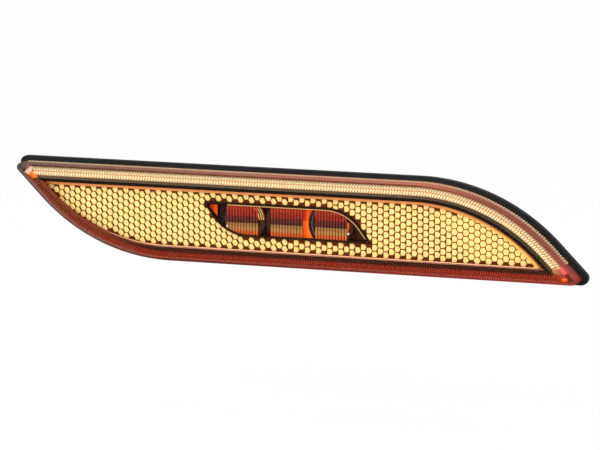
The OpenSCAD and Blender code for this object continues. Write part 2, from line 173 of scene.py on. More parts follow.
class Moulding:
    """Faces of a piece, each with a tone, gathered in millimetres."""

    def __init__(self):
        self.faces = []

    def face(self, points, tone):
        self.faces.append((points, tuple(tone) + (1.0,)))

    def wall(self, low, high, tone, closed=True):
        """Quads between two rows of points of equal number; they face out of an anticlockwise row."""
        n = len(low)
        for i in range(n if closed else n - 1):
            j = (i + 1) % n
            colour = tone(low[i], low[j], high[i], high[j]) if callable(tone) else tone
            self.face([low[i], low[j], high[j], high[i]], colour)

    def make(self, name, material, smooth=math.radians(35)):
        """A mesh object at the origin, with equal points merged and a tone on every face."""
        mesh = bpy.data.meshes.new(name)
        bm = bmesh.new()
        layer = bm.faces.layers.float_color.new("tone")
        for points, tone in self.faces:
            verts = [bm.verts.new(at(*p)) for p in points]
            bm.faces.new(verts)[layer] = tone
        bmesh.ops.remove_doubles(bm, verts=bm.verts, dist=MERGE)
        bm.to_mesh(mesh)
        bm.free()
        if smooth:
            mesh.shade_smooth()
            mesh.set_sharp_from_angle(angle=smooth)
        mesh.materials.append(material)
        return placed(name, mesh)


def level(points, z):
    return [(x, y, z) for x, y in points]


def settle(obj, slot, *nodes):
    """Ties a finished piece to the lamp's one body and hides the nodes it stands for; slot is not used."""
    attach(obj, "root")
    if nodes:
        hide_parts(*nodes)
    return obj


def trim(obj, keep=None, hole=None):
    """Cuts a piece to lie inside one convex outline and outside another, both anticlockwise."""
    bm = bmesh.new()
    bm.from_mesh(obj.data)

    def sides(outline):
        for (x0, y0), (x1, y1) in zip(outline, outline[1:] + outline[:1]):
            if math.hypot(x1 - x0, y1 - y0) > SLIVER:
                yield at(x0, y0, 0), Vector((y1 - y0, 0, x0 - x1)).normalized()

    for point, normal in sides(keep or []):
        geom = bm.verts[:] + bm.edges[:] + bm.faces[:]
        bmesh.ops.bisect_plane(bm, geom=geom, dist=CUT, plane_co=point, plane_no=normal, clear_outer=True)
    if hole:
        planes = list(sides(hole))
        for point, normal in planes:
            near = [f for f in bm.faces if all((v.co - point).dot(normal) < REACH * MM for v in f.verts)]
            edges = {e for f in near for e in f.edges}
            geom = near + list(edges) + list({v for f in near for v in f.verts})
            bmesh.ops.bisect_plane(bm, geom=geom, dist=CUT, plane_co=point, plane_no=normal)
        inside = [
            f for f in bm.faces
            if all((f.calc_center_median() - p).dot(n) < 0 for p, n in planes)
        ]
        bmesh.ops.delete(bm, geom=inside, context="FACES")
    bm.to_mesh(obj.data)
    bm.free()
    return obj


def wire(link, *wires):
    """Links nodes; each wire is a node, its output, another node and its input, by name or number."""
    for source, output, target, place in wires:
        link(source.outputs[output], target.inputs[place])


def maths(node, operation, number=None):
    """A maths node, with a number as its second value where one is given."""
    made = node("ShaderNodeMath")
    made.operation = operation
    if number is not None:
        made.inputs[1].default_value = number
    return made


# Geometry Nodes: one tree that repeats a shape on points


def repeat_tree():
    """Copies a shape onto points, turned by the points' own angle and a common lean."""
    tree = bpy.data.node_groups.get("repeat_shape")
    if tree:
        return tree
    tree = bpy.data.node_groups.new("repeat_shape", "GeometryNodeTree")
    sockets = (
        ("Geometry", "Geometry"), ("Shape", "Object"), ("Lean", "Float"), ("Material", "Material"),
    )
    for name, kind in sockets:
        tree.interface.new_socket(name, in_out="INPUT", socket_type="NodeSocket" + kind)
    tree.interface.new_socket("Geometry", in_out="OUTPUT", socket_type="NodeSocketGeometry")
    node, link = tree.nodes.new, tree.links.new
    entry, leave = node("NodeGroupInput"), node("NodeGroupOutput")
    points, pattern = node("GeometryNodeMeshToPoints"), node("GeometryNodeObjectInfo")
    turn = node("GeometryNodeInputNamedAttribute")
    turn.data_type = "FLOAT"
    turn.inputs["Name"].default_value = "turn"
    total, spin = maths(node, "ADD"), node("ShaderNodeCombineXYZ")
    copies, real = node("GeometryNodeInstanceOnPoints"), node("GeometryNodeRealizeInstances")
    paint = node("GeometryNodeSetMaterial")
    wire(
        link,
        (entry, "Geometry", points, "Mesh"), (entry, "Shape", pattern, "Object"),
        (turn, "Attribute", total, 0), (entry, "Lean", total, 1), (total, 0, spin, "Y"),
        (points, "Points", copies, "Points"), (pattern, "Geometry", copies, "Instance"),
        (spin, 0, copies, "Rotation"), (copies, "Instances", real, "Geometry"),
        (real, "Geometry", paint, "Geometry"), (entry, "Material", paint, "Material"),
        (paint, "Geometry", leave, "Geometry"),
    )
    return tree


def repeat(name, pattern, spots, material, lean=0.0, smooth=True):
    """A mesh of copies of a pattern object at spots of (x, y, z, turn in radians); the pattern goes."""
    mesh = bpy.data.meshes.new(name)
    mesh.from_pydata([at(x, y, z) for x, y, z, _ in spots], [], [])
    mesh.attributes.new("turn", "FLOAT", "POINT").data.foreach_set("value", [-s[3] for s in spots])
    obj = placed(name, mesh)
    tree = repeat_tree()
    modifier = obj.modifiers.new("repeat", "NODES")
    modifier.node_group = tree
    values = {"Shape": pattern, "Lean": -lean, "Material": material}
    for item in tree.interface.items_tree:
        if item.in_out == "INPUT" and item.name in values:
            modifier[item.identifier] = values[item.name]
    bpy.context.view_layer.update()
    graph = bpy.context.evaluated_depsgraph_get()
    result = bpy.data.meshes.new_from_object(
        obj.evaluated_get(graph), preserve_all_data_layers=True, depsgraph=graph
    )
    obj.modifiers.clear()
    obj.data = result
    bpy.data.meshes.remove(mesh)
    if smooth:
        result.shade_smooth()
        result.set_sharp_from_angle(angle=math.radians(40))
    bpy.data.objects.remove(pattern)
    return obj


# Finishes


def new_material(name):
    material = bpy.data.materials.new(name)
    material.use_nodes = True
    material.node_tree.nodes.clear()
    return material, material.node_tree.nodes.new, material.node_tree.links.new


def grain(node, link, size, detail=3.0):
    """Noise on object coordinates, with its feature size in millimetres."""
    place = node("ShaderNodeTexCoord")
    noise = node("ShaderNodeTexNoise")
    noise.inputs["Scale"].default_value = 1 / (size * MM)
    noise.inputs["Detail"].default_value = detail
    link(place.outputs["Object"], noise.inputs["Vector"])
    return noise.outputs["Fac"]


def spread(node, link, value, low, high):
    """Maps a noise value to a range."""
    ramp = node("ShaderNodeMapRange")
    start, end = NOISE_RANGE
    for name, number in (("From Min", start), ("From Max", end), ("To Min", low), ("To Max", high)):
        ramp.inputs[name].default_value = number
    link(value, ramp.inputs["Value"])
    return ramp.outputs["Result"]


def plastic(
    name, colour=None, rough=0.35, vary=0.1, speck=1.0, bump=0.0, bump_size=0.4, coat=0.0, metal=0.0,
    specular=0.5
):
    """A moulded or metal surface; without a colour it takes the tone of each face."""
    material, node, link = new_material(name)
    out, body = node("ShaderNodeOutputMaterial"), node("ShaderNodeBsdfPrincipled")
    body.inputs["Metallic"].default_value = metal
    body.inputs["Coat Weight"].default_value = coat
    body.inputs["Coat Roughness"].default_value = 0.08
    body.inputs["Specular IOR Level"].default_value = specular
    shade, light = node("ShaderNodeMix"), node("ShaderNodeCombineColor")
    shade.data_type, shade.blend_type = "RGBA", "MULTIPLY"
    shade.inputs["Factor"].default_value = 1.0
    if colour is None:
        tone = node("ShaderNodeAttribute")
        tone.attribute_name = "tone"
        link(tone.outputs["Color"], shade.inputs["A"])
    else:
        shade.inputs["A"].default_value = linear(colour) + (1,)
    strength = spread(node, link, grain(node, link, speck), 1 - vary, 1 + vary)
    for channel in ("Red", "Green", "Blue"):
        link(strength, light.inputs[channel])
    wire(link, (light, "Color", shade, "B"), (shade, "Result", body, "Base Color"))
    wire(link, (body, 0, out, "Surface"))
    wear = grain(node, link, speck * 2.7, 2.0)
    link(spread(node, link, wear, max(rough - 0.08, 0.02), rough + 0.08), body.inputs["Roughness"])
    if bump:
        fine = grain(node, link, bump_size, 2.0)
        height = node("ShaderNodeBump")
        height.inputs["Strength"].default_value = bump
        height.inputs["Distance"].default_value = bump_size * MM
        link(fine, height.inputs["Height"])
        link(height.outputs["Normal"], body.inputs["Normal"])
    return material


def clear_plastic(name):
    """A clear moulding: each point's tone gives the tint and its opacity, and the rest shows through."""
    material, node, link = new_material(name)
    out, tone = node("ShaderNodeOutputMaterial"), node("ShaderNodeAttribute")
    tone.attribute_name = "tone"
    see, shine = node("ShaderNodeBsdfTransparent"), node("ShaderNodeBsdfGlossy")
    see.inputs["Color"].default_value = (1.0, 0.99, 0.97, 1)
    shine.inputs["Roughness"].default_value = 0.03
    edge, body = node("ShaderNodeFresnel"), node("ShaderNodeBsdfPrincipled")
    edge.inputs["IOR"].default_value = 1.22
    body.inputs["Roughness"].default_value = 0.25
    body.inputs["IOR"].default_value = 1.15
    body.inputs["Specular IOR Level"].default_value = 0.0
    clear, mix = node("ShaderNodeMixShader"), node("ShaderNodeMixShader")
    fleck, dim = maths(node, "MULTIPLY"), maths(node, "MULTIPLY", 0.08)
    link(spread(node, link, grain(node, link, 6.0, 2.0), 0.92, 1.0), fleck.inputs[1])
    wire(
        link,
        (tone, "Alpha", fleck, 0), (edge, "Fac", dim, 0), (dim, 0, clear, "Fac"),
        (see, 0, clear, 1), (shine, 0, clear, 2), (tone, "Color", body, "Base Color"),
        (fleck, 0, mix, "Fac"), (clear, 0, mix, 1), (body, 0, mix, 2), (mix, 0, out, "Surface"),
    )
    return material


FINISHES = {
    "foam": dict(colour=(30, 30, 32), rough=0.85, vary=0.3, speck=0.5, bump=0.5, bump_size=0.3),
    "black moulding": dict(
        colour=(17, 16, 16), rough=0.62, vary=0.16, speck=0.8, bump=0.25, bump_size=0.25, specular=0.1
    ),
    "toned gloss": dict(rough=0.3, vary=0.05, speck=2.0, coat=0.08, specular=0.25),
    "toned satin": dict(rough=0.5, vary=0.08, speck=1.5, specular=0.06),
    "pins": dict(rough=0.35, vary=0.1, speck=2.2, coat=0.05, specular=0.3),
    "zinc": dict(colour=(186, 189, 192), rough=0.32, vary=0.12, speck=0.9, bump=0.1, metal=1.0),
    "tin": dict(colour=(205, 190, 150), rough=0.3, vary=0.08, speck=0.7, metal=1.0),
    "solder mask": dict(colour=(31, 90, 53), rough=0.3, vary=0.18, speck=0.6, coat=0.4),
    "chip": dict(colour=(32, 32, 34), rough=0.5, vary=0.15, speck=0.3, bump=0.2, bump_size=0.1),
    "ceramic": dict(colour=(169, 133, 90), rough=0.4, vary=0.12, speck=0.4),
    "emitter": dict(colour=(240, 226, 160), rough=0.35, vary=0.06, speck=0.5),
    "film": dict(colour=(226, 226, 220), rough=0.8, vary=0.1, speck=0.15, bump=0.4, bump_size=0.1),
}


def finish(name):
    """The material for a finish, made once."""
    key = name.replace(" ", "_")
    made = bpy.data.materials.get(key)
    if made:
        return made
    return clear_plastic(key) if name == "clear cover" else plastic(key, **FINISHES[name])


def dress(node_names, finish_name):
    """Gives CAD nodes that keep their own shape a better material."""
    for name in node_names:
        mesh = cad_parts[name].data
        mesh.materials.clear()
        mesh.materials.append(finish(finish_name))


# Sizes and colours that a user would change


def size_prop(text, hint, value, low, high):
    return bpy.props.FloatProperty(name=text, description=hint, default=value, min=low, max=high)


def colour_prop(text, hint, value):
    return bpy.props.FloatVectorProperty(
        name=text, description=hint, subtype="COLOR_GAMMA", size=3, min=0, max=1,
        default=tuple(c / 255 for c in value),
    )


class LampShape(bpy.types.PropertyGroup):
    """Sizes of the lamp, in millimetres and degrees."""

    cover_length: size_prop("Cover length", "Length of the cover over its two tips", 217.3, 200, 232)
    cover_height: size_prop("Cover height", "Height of the cover", 34.2, 32, 38)
    shoulder_radius: size_prop("Shoulder radius", "Radius from a long edge to a raked end", 72.4, 62, 80)
    end_angle: size_prop("End angle", "Rake of both ends, in degrees", 45.3, 44, 50)
    tip_radius: size_prop("Tip radius", "Radius of the two tips", 1.8, 1.5, 3.5)
    weld: size_prop("Weld", "Depth at which the cover meets the housing", 4.8, 4, 6)
    cover_round: size_prop("Cover rounding", "Depth at which the cover's edge starts to round", 12, 11, 14)
    cover_front: size_prop("Cover front", "Radius of the cover's front edge", 2, 1.6, 2.6)
    foot: size_prop("Foot", "How far the housing's foot stands out past the cover", 1.2, 0.6, 1.4)
    gasket: size_prop("Gasket", "Thickness of the gasket", 1.2, 1, 2)
    guide_base: size_prop("Guide base", "Depth at which the guides rest on their tray", 8, 7, 9)
    guide_top: size_prop("Guide top", "Depth of the guides' front", 10.5, 9, 12)
    plate_front: size_prop("Plate front", "Depth of the bezel's front", 11.7, 11, 13)
    pin_pitch: size_prop("Pin pitch", "Width of a reflector pin across its flats", 2.5, 2.4, 3)
    pin_level: size_prop("Pin level", "Depth of the reflector pins as they are seen", 9.0, 8, 10)
    rib_pitch: size_prop("Rib pitch", "Distance between two ribs of the upper guide", 1.08, 0.9, 1.4)
    fine_pitch: size_prop("Fine pitch", "Distance between two ribs of the lower guide", 0.92, 0.6, 1.2)
    window_length: size_prop("Window length", "Length of the window over its two tips", 64.4, 62, 68)
    window_height: size_prop("Window height", "Height of the window", 12.4, 12, 13.4)
    window_radius: size_prop("Window radius", "Radius of the window's shoulders", 17, 15, 19)
    window_angle: size_prop("Window angle", "Rake of the window's ends, in degrees", 54, 50, 58)
    window_x: size_prop("Window place", "Place of the window's middle along the lamp", -2.0, -4, 2)
    window_y: size_prop("Window height place", "Place of the window's middle up the lamp", -0.4, -1, 1)
    lamp_pitch: size_prop("Lamp pitch", "Distance between two lamps in the window", 17.3, 17, 18)


class LampTints(bpy.types.PropertyGroup):
    """Colours of the lamp's inner pieces; several of them paint light and shade."""

    guide: colour_prop("Upper guide", "Colour of the upper guide's ribs", (255, 240, 196))
    # The groove colour is painted shade between the upper guide's ribs.
    guide_groove_shade: colour_prop("Guide groove", "Colour between the upper guide's ribs", (226, 162, 96))
    lower_guide: colour_prop("Lower guide", "Colour of the lower guide", (205, 62, 30))
    rim_light: colour_prop("Rim light", "Colour of the rim inside the cover's upper wall", (255, 226, 186))
    # The two edge tints paint light and shade: the upper edge is painted lit and the lower one shaded.
    edge_top_lit: colour_prop("Upper edge", "Tint of the cover's upper rounded edge", (178, 104, 82))
    edge_bottom_shaded: colour_prop("Lower edge", "Tint of the cover's lower rounded edge", (80, 38, 24))
    bezel: colour_prop("Bezel", "Colour of the bezel's flat front", (29, 15, 7))
    # The slope colour is painted light on the flank where it faces up.
    bezel_slope_lit: colour_prop("Bezel slope", "Colour of the bezel's sloping flank", (106, 92, 76))
    # The border's two colours are one moulding, painted lighter along the top and darker along the lower
    # edge.
    border: colour_prop("Reflector border", "Colour of the plain border round the pins", (240, 150, 82))
    border_low: colour_prop("Lower border", "Colour of the border along the lower edge", (146, 80, 52))
    pin: colour_prop("Pin", "Colour of a lit reflector pin", (252, 220, 138))
    # The two groove colours are painted shade and shadow between the pins.
    pin_groove_shade: colour_prop("Pin groove", "Colour of the thin grooves between pins", (196, 92, 36))
    pin_groove_shadow: colour_prop("Dark groove", "Colour of the deep grooves between pins", (92, 46, 14))


# Pieces


def facing_up(points):
    """For each point of an outline, how far its side faces up (1) or down (-1)."""
    out = []
    n = len(points)
    for i in range(n):
        xa, ya = points[i - 1]
        xb, yb = points[(i + 1) % n]
        out.append((xa - xb) / max(math.hypot(xb - xa, yb - ya), SLIVER))
    return out


def loft(piece, rows, tones):
    """Joins rows of equal length; tones holds one tone for each gap between two rows."""
    for low, high, tone in zip(rows, rows[1:], tones):
        piece.wall(low, high, tone)


EDGE_OPACITY = (0.78, 0.82, 0.85, 0.7, 0.35, 0.1, 0, 0)  # up the cover's upper rounded edge


def make_cover():
    """The clear cover: a thin skin with a tinted rounded edge, painted lighter above and darker below, and
    a clear front.
    """
    s, t = shape(), tint()
    steps = {"tip_steps": 10, "shoulder_steps": 48}
    skin, draft, bends, top = 0.16, 0.2, 10, s.cover_round
    bend = [math.radians(90 * i / bends) for i in range(bends + 1)]

    def rounding(radius, inset, angles):
        return [(top + radius * math.sin(a), inset + radius * (1 - math.cos(a))) for a in angles]

    outer = [(s.weld, 0), (s.weld + 0.4, 0.01), (top - 0.5, draft - 0.01)]
    outer += rounding(s.cover_front, draft, bend)
    inner = [(s.weld, skin), (top, skin + draft)]
    inner += rounding(s.cover_front - 0.5, skin + draft, bend[2::2])
    up = facing_up(cover_outline(0, **steps))
    n = len(up)
    verts, tones, faces = [], [], []

    def row(z, inset, alpha_top, alpha_low, tone_top, tone_low):
        for i, (x, y) in enumerate(cover_outline(inset, **steps)):
            k = share(up[i], -0.25, 0.25)
            verts.append(at(x, y, z))
            # Painted light and shade: the tint goes from the lower tone on down-facing sides to the upper
            # one on up-facing sides, and darkens towards the right raked end. It also turns redder at the
            # right tip and grey at the left tip.
            shade = blend_colour(tone_low, tone_top, k)
            if y > -12:
                shade = blend_colour(shade, (138, 74, 58), share(x, 55, 75))
            shade = blend_colour(shade, (176, 62, 58), share(x, 100, 104) * 0.8)
            shade = blend_colour(shade, (74, 74, 68), share(-x, 103, 106) * 0.8)
            tones.append(linear(shade) + (alpha_low + (alpha_top - alpha_low) * k,))

    def strip(first, second):
        """Quads between two rows of points, each given by the number of the row."""
        a, b = first * n, second * n
        for i in range(n):
            j = (i + 1) % n
            faces.append((a + i, a + j, b + j, b + i))

    top_edge, low_edge = scaled(t.edge_top_lit, 255), scaled(t.edge_bottom_shaded, 255)
    # Each row is painted lighter on its upper side and darker on its lower side.
    for i, (z, inset) in enumerate(outer):
        step = i - 3
        if step < -1:
            row(z, inset, 0.06, 0.7, (190, 120, 96), (84, 30, 20))
        elif step < 6:
            row(z, inset, EDGE_OPACITY[max(step, 0)], 0.9, top_edge, low_edge)
        elif step < 8:
            row(z, inset, EDGE_OPACITY[step], 0.72, top_edge, (112, 42, 26))
        else:
            row(z, inset, 0.0, 0.35 if step == 8 else 0.0, top_edge, (150, 62, 40))
    for z, inset in inner:
        row(z, inset, 0.0, 0.0, (200, 120, 80), (120, 50, 30))
    first, last = len(outer), len(outer) + len(inner) - 1
    for r in range(first - 1):
        strip(r, r + 1)
    faces.append([(first - 1) * n + i for i in range(n)])
    for r in range(first, last):
        strip(r + 1, r)
    faces.append([last * n + i for i in reversed(range(n))])
    strip(first, 0)
    mesh = bpy.data.meshes.new("cover")
    mesh.from_pydata(verts, [], faces)
    layer = mesh.attributes.new("tone", "FLOAT_COLOR", "POINT")
    layer.data.foreach_set("color", [c for tone in tones for c in tone])
    mesh.shade_smooth()
    mesh.set_sharp_from_angle(angle=math.radians(35))
    mesh.materials.append(finish("clear cover"))
    settle(placed("cover", mesh), "amber_cover", "outer_cover")


def rib_pattern(name, width, length, height, tone, side_shade, rows=5, ends=3, taper=0.22, slope=0.0):
    """One rounded rib: width along the row, length across it, height and slope towards the front."""
    piece = Moulding()
    rings = []
    for e in range(ends + 1):
        shrink = math.sin(math.radians(25 + 65 * e / ends))
        rings.append((-length / 2 + length * taper * e / ends, shrink))
    rings += [(-y, k) for y, k in reversed(rings)]
    strips = []
    for y, k in rings:
        strip = []
        for i in range(rows + 1):
            a = math.pi * i / rows
            strip.append((width / 2 * math.cos(a) * k, y, height * math.sin(a) * k + slope * y))
        strips.append(strip)
    for low, high in zip(strips, strips[1:]):
        for i in range(rows):
            # Painted shade: the faces darken from the lit crest to the side tone at both flanks.
            edge = min(i, rows - 1 - i) / max((rows - 1) / 2, 1)
            shade = blend_colour(side_shade, tone, min(edge * 2.2, 1.0))
            piece.face([low[i], high[i], high[i + 1], low[i + 1]], shade)
    return piece.make(name, finish("toned gloss"), smooth=None)


def guide_spots(inset, pitch, x_start, y_end, lower=False):
    """Spots along the upper edge, round the shoulder and down the raked end, as the guide runs."""
    loop = cover_outline(inset)
    path = loop[:len(loop) // 2][::-1]
    line = [(x_start, path[0][1])]
    for x, y in path:
        if y < y_end:
            x0, y0 = line[-1]
            line.append((x0 + (x - x0) * (y0 - y_end) / (y0 - y), y_end))
            break
        line.append((x, y))
    spots = along(line, pitch)
    return [(-x, -y, a + math.pi) for x, y, a in spots] if lower else spots


def raised(spots, z):
    """Spots of a guide at a depth, as repeat takes them."""
    return [(x, y, z, turn) for x, y, turn in spots]


def guide_bar(name, profile, tones, x_start, y_end, lower=False):
    """A bar along a guide's path. profile holds (inset, depth) from its outer foot to its inner one."""
    base = profile[0][0]
    piece = Moulding()
    rows = []
    for x, y, a in guide_spots(base, GUIDE_STEP, x_start, y_end, lower):
        nx, ny = math.sin(a), -math.cos(a)
        rows.append([(x + nx * (inset - base), y + ny * (inset - base), z) for inset, z in profile])
    for low, high in zip(rows, rows[1:]):
        for i, tone in enumerate(tones):
            shade = tone(low[i][0]) if callable(tone) else tone
            piece.face([low[i], low[i + 1], high[i + 1], high[i]], shade)
    ends = [tone(rows[0][0][0]) if callable(tone) else tone for tone in tones]
    piece.face(rows[0][::-1], ends[0])
    piece.face(rows[-1], ends[-1])
    return piece.make(name, finish("toned gloss"))


def rake_tone(tone, warm, start=-74.0, end=-94.0):
    """A tone that turns to a warmer one down the left raked end."""
    return lambda x: blend_colour(tone, warm, share(x, start, end))


def make_upper_guide():
    """The upper light guide, with two rows of ribs."""
    s, t = shape(), tint()
    # The body and the ribs' flanks take the groove colour, painted shade between the ribs.
    cream, groove = linear(t.guide), linear(t.guide_groove_shade)
    top, base, seat = s.guide_top, s.guide_base, s.guide_top - 0.3
    start, stop = 5.4 - s.cover_length / 2, -11.7
    outer, flank, inner = 1.65, 3.1, 4.9
    section = [(outer, base), (outer, top - 1.1), (flank, seat), (inner, seat), (inner, base)]
    body = guide_bar("upper_guide_body", section, [groove] * 4, start, stop)
    settle(body, "clear_guide", "upper_light_guide")
    rows = (
        ("upper_guide_ribs_outer", (outer + flank) / 2, 1.42, top - 0.6, -0.55, -26),
        ("upper_guide_ribs_inner", (flank + inner) / 2, 1.66, seat, 0.0, -24),
    )
    for name, inset, across, z, slope, lean in rows:
        end = stop + ((outer + inner) / 2 - inset) * -0.7
        pattern = rib_pattern("rib", s.rib_pitch * 0.86, across, 0.5, cream, groove, slope=slope)
        spots = raised(guide_spots(inset, s.rib_pitch, start, end), z)
        row = repeat(name, pattern, spots, finish("toned gloss"), lean=math.radians(lean))
        settle(row, "clear_guide")


def make_lower_guide():
    """The lower light guide, with fine ribs whose tone warms down the left end."""
    s = shape()
    red, warm = linear(tint().lower_guide), linear((156, 88, 50))
    base, seat = s.guide_base, s.guide_top - 0.3
    start, stop = 7.6 - s.cover_length / 2, -12.6
    outer, inner = 1.45, 3.4
    section = [(outer, base), (outer, seat), (inner, seat), (inner, base)]
    # Painted shade: the body under the ribs is the guide's red at 0.45, so the grooves between ribs read
    # dark.
    dark = rake_tone(scaled(red, 0.45), linear((110, 46, 24)))
    low = guide_bar("lower_guide_body", section, [dark] * 3, start, stop, lower=True)
    settle(low, "clear_guide", "lower_light_guide")
    zones = ((-62, 200, 0.0), (-74, -62, 0.35), (-88, -74, 0.7), (-200, -88, 1.0))
    spots = guide_spots(2.42, s.fine_pitch, start, stop, lower=True)
    for k, (low_x, high_x, part) in enumerate(zones):
        tone = blend_colour(red, warm, part)
        # Each fine rib is painted darker on its flanks, at 0.36 of its tone.
        pattern = rib_pattern(
            "fine_rib", s.fine_pitch * 0.8, 1.9, 0.38, tone, scaled(tone, 0.36), rows=3, ends=1, taper=0.1
        )
        places = raised([spot for spot in spots if low_x <= spot[0] < high_x], s.guide_top - 0.35)
        name = "lower_guide_ribs_%d" % k
        ribs = repeat(name, pattern, places, finish("toned gloss"), lean=math.radians(-8))
        settle(ribs, "clear_guide")


def make_rims():
    """The ribbed rims that show through the cover's wall."""
    s, t = shape(), tint()
    # The dark lip tone is painted shade, on the ledge between the lower rim's ribs and on their flanks.
    lip_tone, lip_dark = linear((190, 80, 52)), linear((104, 40, 28))
    top, start, stop = s.guide_top, 2.6 - s.cover_length / 2, -15.2
    outer, inner, foot = 0.62, 1.45, s.weld + 0.2
    section = [(outer, foot), (outer, top + 0.25), (inner, top - 0.3), (inner, foot)]
    ledge = guide_bar("lower_rim_ledge", section, [lip_dark] * 3, start, stop, lower=True)
    settle(ledge, "clear_guide")
    pattern = rib_pattern(
        "rim_rib", s.fine_pitch * 0.84, 0.84, 0.22, lip_tone, lip_dark, rows=3, ends=1, taper=0.1,
        slope=0.65
    )
    places = raised(guide_spots(1.05, s.fine_pitch, start, stop, lower=True), top - 0.05)
    settle(repeat("rim_ribs_lower", pattern, places, finish("toned gloss")), "clear_guide")
    # Painted light and shade on the upper flutes: lit deep in the cover, shaded nearer its front, and the
    # two outer faces of each flute at half brightness.
    bright, flute_shade = linear(t.rim_light), linear((170, 104, 80))
    piece = Moulding()
    sides, levels = 5, ((0.0, bright), (2.6, bright), (3.6, flute_shade), (6.2, flute_shade))
    ring = [
        (s.rib_pitch * 0.47 * math.cos(math.pi * i / sides), 0.45 * math.sin(math.pi * i / sides))
        for i in range(sides + 1)
    ]
    for (z0, tone0), (z1, tone1) in zip(levels, levels[1:]):
        for i in range(sides):
            (x0, y0), (x1, y1) = ring[i], ring[i + 1]
            shade = scaled(blend_colour(tone0, tone1, 0.5), 0.5 if i in (0, sides - 1) else 1.0)
            piece.face([(x0, y0, z0), (x1, y1, z0), (x1, y1, z1), (x0, y0, z1)][::-1], shade)
    piece.face([(x, y, levels[-1][0]) for x, y in ring], flute_shade)
    pattern = piece.make("flute", finish("toned gloss"), smooth=None)
    places = raised(guide_spots(0.72, s.rib_pitch, start, -10.6), s.weld + 0.1)
    settle(repeat("rim_flutes_upper", pattern, places, finish("toned gloss")), "clear_guide")


def make_guides():
    """Both light guides, and the rims beside them."""
    make_upper_guide()
    make_lower_guide()
    make_rims()


def field_outline(inset_top, inset_bottom, cut=3.1, grow=6.1):
    """The pin field's outline: a cut pulls its right raked end in, and growth pushes the left one out."""
    s = shape()
    rest = (s.cover_height, s.shoulder_radius, s.end_angle, s.tip_radius)
    right = half_outline((s.cover_length - cut,) + rest, inset_top, inset_bottom, 8, 36)
    left = half_outline((s.cover_length + grow,) + rest, inset_bottom, inset_top, 8, 36)
    return right + [(-x, -y) for x, y in left]


OPENING = (6.85, 4.65)


def make_bezel():
    """The dark bezel with its sloping flank, and the reflector's border inside it."""
    s, t = shape(), tint()
    flat, slope = linear(t.bezel), linear(t.bezel_slope_lit)
    top_out, low_out, chamfer, front = 4.9, 3.5, 0.72, s.plate_front
    # Painted shade: the first tone darkens the outer wall, and the second darkens the lit flank towards
    # both ends.
    low, slope_end_shade, brown = linear((66, 26, 14)), linear((72, 68, 58)), linear((122, 56, 34))
    warm = rake_tone(flat, brown, start=-58.0, end=-78.0)
    lit_low_face = rake_tone(linear((60, 26, 12)), brown, start=-58.0, end=-78.0)

    # Painted light and shade: the upper and right flank take the lit slope tone, the rest darker tones.
    def flank(a, b, *_):
        upper = b[0] < a[0] and a[1] > 0
        right = b[1] - a[1] > 0.01 and a[0] > 40
        if upper or right:
            return blend_colour(slope, slope_end_shade, share(abs(a[0]), 30, 70))
        return warm((a[0] + b[0]) / 2) if a[1] + b[1] < 22 else low

    # Painted light: the lower face takes a lighter, redder tone than the near-black upper face.
    def face(a, b, *_):
        lower = b[0] > a[0] and a[1] + b[1] < 22
        return lit_low_face((a[0] + b[0]) / 2) if lower else flat

    # Painted shade: the wall into the opening is its face's tone at 0.7.
    def shaded_opening_wall(*corners):
        return scaled(face(*corners), 0.7)

    piece = Moulding()
    rows = [
        level(cover_outline(top_out, low_out), s.guide_base),
        level(cover_outline(top_out, low_out), front - 1.5),
        level(cover_outline(top_out + chamfer, low_out), front),
        level(cover_outline(*OPENING), front),
        level(cover_outline(*OPENING), front - 0.5),
    ]
    loft(piece, rows, [low, flank, face, shaded_opening_wall])
    settle(piece.make("bezel", finish("toned satin")), "dark_bezel", "inner_bezel")
    make_border()


def make_border():
    """The plain border of the reflector, and a dark ground under its pins that paints the shade in their
    grooves.
    """
    s, t = shape(), tint()
    raked = linear((138, 66, 42))

    # Painted light and shade: the tone goes from the lower one to the upper one up the lamp, darkens on
    # raked sides that fall, and turns to the third tone on the right raked end.
    def side(up, down, right):
        def tone(a, b, *_):
            shade = blend_colour(down, up, share(a[1] + b[1] + 0.04 * (a[0] + b[0]), -8, 2))
            fall = (a[1] - b[1]) / max(math.hypot(b[0] - a[0], b[1] - a[1]), SLIVER)
            shade = blend_colour(shade, raked, share(fall, 0.12, 0.42))
            return blend_colour(shade, right, share(a[0] + b[0], 120, 160) if b[1] > a[1] else 0)
        return tone

    rim = Moulding()
    # The band is painted darker along the lower edge; the lip is painted lighter there, where it faces up,
    # and has a painted golden highlight on the right raked end; the walls are painted shade.
    band = side(linear(t.border), linear(t.border_low), linear((196, 104, 40)))
    lip = side(linear((240, 156, 86)), linear((255, 190, 134)), linear((255, 200, 96)))
    wall = linear((96, 40, 14))
    top_in, low_in = OPENING
    z = s.pin_level
    foot = z - 1.6
    outside = field_outline(top_in + 0.05, low_in + 0.05, 0, 4.8)
    inner = field_outline(top_in + 1.35, low_in + 0.9)
    rows = [
        level(outside, foot),
        level(outside, z + 0.9),
        level(field_outline(top_in + 1.1, low_in + 0.55, 0.3, 5.6), z + 0.65),
        level(field_outline(top_in + 1.3, low_in + 0.8, 2.9, 5.9), z + 0.5),
        level(inner, z - 0.35),
        level(inner, foot),
    ]
    loft(rim, rows, [wall, band, lip, wall, wall])
    settle(rim.make("reflector_border", finish("toned gloss")), "amber_reflector")
    # Painted shade: the dark ground shows between the pins as the shade in their grooves.
    groove_shade = linear((112, 48, 16))
    ground = sheet_with_hole("reflector_ground", inner, window_outline(0.05), z - 0.6, groove_shade)
    settle(ground, "amber_reflector")


